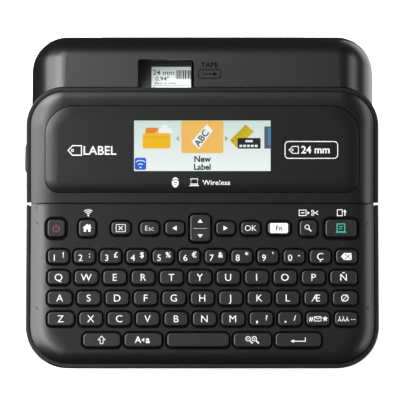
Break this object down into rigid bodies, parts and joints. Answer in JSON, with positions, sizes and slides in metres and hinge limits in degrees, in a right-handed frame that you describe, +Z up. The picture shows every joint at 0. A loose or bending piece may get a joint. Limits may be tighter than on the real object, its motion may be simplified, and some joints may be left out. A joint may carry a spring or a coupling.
{
  "type": "label maker",
  "caption": "Desktop label maker with a sloping keyboard, tilted colour display, hinged tape and battery compartment cover and a built-in tape drive and cutter.",
  "frame": {"origin": "on the table under the middle of the case", "axes": "+X to the user's right, +Y to the rear, +Z up"},
  "size_m": [0.2022, 0.1921, 0.0861],
  "materials": {
    "case_plastic": "satin",
    "cover_plastic": "satin",
    "hood_plastic": "satin",
    "bezel_plastic": "satin",
    "button_plastic": "satin",
    "key_plastic": "satin",
    "tray_plastic": "matte",
    "connector_plastic": "satin",
    "clear_window": "gloss",
    "lcd_panel": "gloss",
    "rubber": "matte",
    "mat_rubber": "matte",
    "steel": "satin",
    "connector_shell": "polished",
    "contact_metal": "satin",
    "blade_steel": "polished",
    "motor_can": "satin",
    "pinion_brass": "satin",
    "heat_sink_aluminium": "satin",
    "head_ceramic": "satin",
    "circuit_board": "satin",
    "chip": "matte",
    "battery_wrap": "gloss",
    "gear_plastic": "satin",
    "cassette_plastic": "satin",
    "tape_film": "satin",
    "ribbon_film": "gloss"
  },
  "bodies": {
    "root": {"base_case": "case_plastic", "keyboard_cover": "cover_plastic", "display_housing": "case_plastic", "display_cover": "cover_plastic", "display_bezel": "bezel_plastic", "display_window": "clear_window", "lcd_module": "lcd_panel", "cover_hinge_pins": "steel", "rubber_feet": "rubber", "case_screws": "steel", "keypad_board": "circuit_board", "key_mat": "mat_rubber", "main_board": "circuit_board", "board_components": "chip", "dc_jack": "connector_plastic", "usb_port": "connector_shell", "compartment_tray": "tray_plastic", "battery_cells": "battery_wrap", "battery_contacts": "contact_metal", "print_chassis": "steel", "print_head": "head_ceramic", "heat_sink": "heat_sink_aluminium", "feed_motor": "motor_can", "fixed_blade": "blade_steel", "cutter_motor": "motor_can", "cassette_shell": "cassette_plastic", "cassette_lid": "cassette_plastic"},
    "power_key": {"power_key": "key_plastic"},
    "home_key": {"home_key": "key_plastic"},
    "clear_key": {"clear_key": "key_plastic"},
    "escape_key": {"escape_key": "key_plastic"},
    "left_key": {"left_key": "key_plastic"},
    "right_key": {"right_key": "key_plastic"},
    "ok_key": {"ok_key": "key_plastic"},
    "function_key": {"function_key": "key_plastic"},
    "preview_key": {"preview_key": "key_plastic"},
    "print_key": {"print_key": "key_plastic"},
    "number_keys": {"number_keys": "key_plastic"},
    "upper_letter_keys": {"upper_letter_keys": "key_plastic"},
    "middle_letter_keys": {"middle_letter_keys": "key_plastic"},
    "lower_letter_keys": {"lower_letter_keys": "key_plastic"},
    "shift_key": {"shift_key": "key_plastic"},
    "caps_key": {"caps_key": "key_plastic"},
    "space_key": {"space_key": "key_plastic"},
    "zoom_key": {"zoom_key": "key_plastic"},
    "enter_key": {"enter_key": "key_plastic"},
    "up_down_key": {"up_down_key": "key_plastic"},
    "compartment_cover": {"compartment_cover": "hood_plastic", "tape_window": "clear_window"},
    "cover_release_button": {"cover_release_button": "button_plastic"},
    "platen_holder": {"platen_holder": "gear_plastic"},
    "platen_roller": {"platen_roller": "rubber", "roller_shaft": "steel", "platen_gear": "gear_plastic"},
    "idler_gear": {"idler_gear": "gear_plastic"},
    "motor_pinion": {"motor_pinion": "pinion_brass"},
    "ribbon_drive": {"ribbon_spindle": "gear_plastic", "ribbon_spool": "ribbon_film"},
    "tape_spool": {"tape_spool": "tape_film"},
    "cutter_blade": {"cutter_blade": "blade_steel"}
  },
  "joints": [
    {"name": "power_key_press", "type": "slide", "parent": "root", "child": "power_key", "axis": [0, 0.2419, -0.9703], "range_m": [0, 0.001], "stiffness_N_per_m": 400, "springref_m": -0.001},
    {"name": "home_key_press", "type": "slide", "parent": "root", "child": "home_key", "axis": [0, 0.2419, -0.9703], "range_m": [0, 0.001], "stiffness_N_per_m": 400, "springref_m": -0.001},
    {"name": "clear_key_press", "type": "slide", "parent": "root", "child": "clear_key", "axis": [0, 0.2419, -0.9703], "range_m": [0, 0.001], "stiffness_N_per_m": 400, "springref_m": -0.001},
    {"name": "escape_key_press", "type": "slide", "parent": "root", "child": "escape_key", "axis": [0, 0.2419, -0.9703], "range_m": [0, 0.001], "stiffness_N_per_m": 400, "springref_m": -0.001},
    {"name": "left_key_press", "type": "slide", "parent": "root", "child": "left_key", "axis": [0, 0.2419, -0.9703], "range_m": [0, 0.001], "stiffness_N_per_m": 400, "springref_m": -0.001},
    {"name": "right_key_press", "type": "slide", "parent": "root", "child": "right_key", "axis": [0, 0.2419, -0.9703], "range_m": [0, 0.001], "stiffness_N_per_m": 400, "springref_m": -0.001},
    {"name": "ok_key_press", "type": "slide", "parent": "root", "child": "ok_key", "axis": [0, 0.2419, -0.9703], "range_m": [0, 0.001], "stiffness_N_per_m": 400, "springref_m": -0.001},
    {"name": "function_key_press", "type": "slide", "parent": "root", "child": "function_key", "axis": [0, 0.2419, -0.9703], "range_m": [0, 0.001], "stiffness_N_per_m": 400, "springref_m": -0.001},
    {"name": "preview_key_press", "type": "slide", "parent": "root", "child": "preview_key", "axis": [0, 0.2419, -0.9703], "range_m": [0, 0.001], "stiffness_N_per_m": 400, "springref_m": -0.001},
    {"name": "print_key_press", "type": "slide", "parent": "root", "child": "print_key", "axis": [0, 0.2419, -0.9703], "range_m": [0, 0.001], "stiffness_N_per_m": 400, "springref_m": -0.001},
    {"name": "number_keys_press", "type": "slide", "parent": "root", "child": "number_keys", "axis": [0, 0.2419, -0.9703], "range_m": [0, 0.001], "stiffness_N_per_m": 900, "springref_m": -0.001},
    {"name": "upper_letter_keys_press", "type": "slide", "parent": "root", "child": "upper_letter_keys", "axis": [0, 0.2419, -0.9703], "range_m": [0, 0.001], "stiffness_N_per_m": 900, "springref_m": -0.001},
    {"name": "middle_letter_keys_press", "type": "slide", "parent": "root", "child": "middle_letter_keys", "axis": [0, 0.2419, -0.9703], "range_m": [0, 0.001], "stiffness_N_per_m": 900, "springref_m": -0.001},
    {"name": "lower_letter_keys_press", "type": "slide", "parent": "root", "child": "lower_letter_keys", "axis": [0, 0.2419, -0.9703], "range_m": [0, 0.001], "stiffness_N_per_m": 900, "springref_m": -0.001},
    {"name": "shift_key_press", "type": "slide", "parent": "root", "child": "shift_key", "axis": [0, 0.2419, -0.9703], "range_m": [0, 0.001], "stiffness_N_per_m": 400, "springref_m": -0.001},
    {"name": "caps_key_press", "type": "slide", "parent": "root", "child": "caps_key", "axis": [0, 0.2419, -0.9703], "range_m": [0, 0.001], "stiffness_N_per_m": 400, "springref_m": -0.001},
    {"name": "space_key_press", "type": "slide", "parent": "root", "child": "space_key", "axis": [0, 0.2419, -0.9703], "range_m": [0, 0.001], "stiffness_N_per_m": 400, "springref_m": -0.001},
    {"name": "zoom_key_press", "type": "slide", "parent": "root", "child": "zoom_key", "axis": [0, 0.2419, -0.9703], "range_m": [0, 0.001], "stiffness_N_per_m": 400, "springref_m": -0.001},
    {"name": "enter_key_press", "type": "slide", "parent": "root", "child": "enter_key", "axis": [0, 0.2419, -0.9703], "range_m": [0, 0.001], "stiffness_N_per_m": 400, "springref_m": -0.001},
    {"name": "up_down_rock", "type": "hinge", "parent": "root", "child": "up_down_key", "pos_m": [-0.0012, -0.01836, 0.05248], "axis": [1, 0, 0], "range_deg": [-3, 3], "stiffness_Nm_per_rad": 0.02},
    {"name": "cover_hinge", "type": "hinge", "parent": "root", "child": "compartment_cover", "pos_m": [0, 0.0929, 0.066], "axis": [-1, 0, 0], "range_deg": [0, 95]},
    {"name": "cover_release", "type": "slide", "parent": "root", "child": "cover_release_button", "axis": [1, 0, 0], "range_m": [0, 0.0025], "stiffness_N_per_m": 400, "springref_m": -0.002},
    {"name": "platen_release", "type": "hinge", "parent": "root", "child": "platen_holder", "pos_m": [-0.063, 0.05, 0.05], "axis": [0, 0, 1], "range_deg": [0, 8]},
    {"name": "roller_spin", "type": "hinge", "parent": "platen_holder", "child": "platen_roller", "pos_m": [-0.073, 0.0566, 0.05], "axis": [0, 0, 1], "continuous": true},
    {"name": "idler_spin", "type": "hinge", "parent": "root", "child": "idler_gear", "pos_m": [-0.0583, 0.0615, 0.035], "axis": [0, 0, 1], "continuous": true},
    {"name": "pinion_spin", "type": "hinge", "parent": "root", "child": "motor_pinion", "pos_m": [-0.0523, 0.0511, 0.035], "axis": [0, 0, 1], "continuous": true},
    {"name": "ribbon_spin", "type": "hinge", "parent": "root", "child": "ribbon_drive", "pos_m": [-0.0442, 0.0666, 0.035], "axis": [0, 0, 1], "continuous": true},
    {"name": "tape_spin", "type": "hinge", "parent": "root", "child": "tape_spool", "pos_m": [-0.0255, 0.074, 0.05], "axis": [0, 0, 1], "continuous": true},
    {"name": "cutter_swing", "type": "hinge", "parent": "root", "child": "cutter_blade", "pos_m": [-0.0885, 0.057, 0.0372], "axis": [-1, 0, 0], "range_deg": [0, 14]}
  ],
  "couplings": [
    {"joint": "platen_release", "follows": "cover_hinge", "ratio": 0.0842},
    {"joint": "idler_spin", "follows": "roller_spin", "ratio": -0.72222},
    {"joint": "pinion_spin", "follows": "roller_spin", "ratio": 2.1667},
    {"joint": "ribbon_spin", "follows": "roller_spin", "ratio": 1.0833},
    {"joint": "tape_spin", "follows": "roller_spin", "ratio": -0.3175}
  ]
}
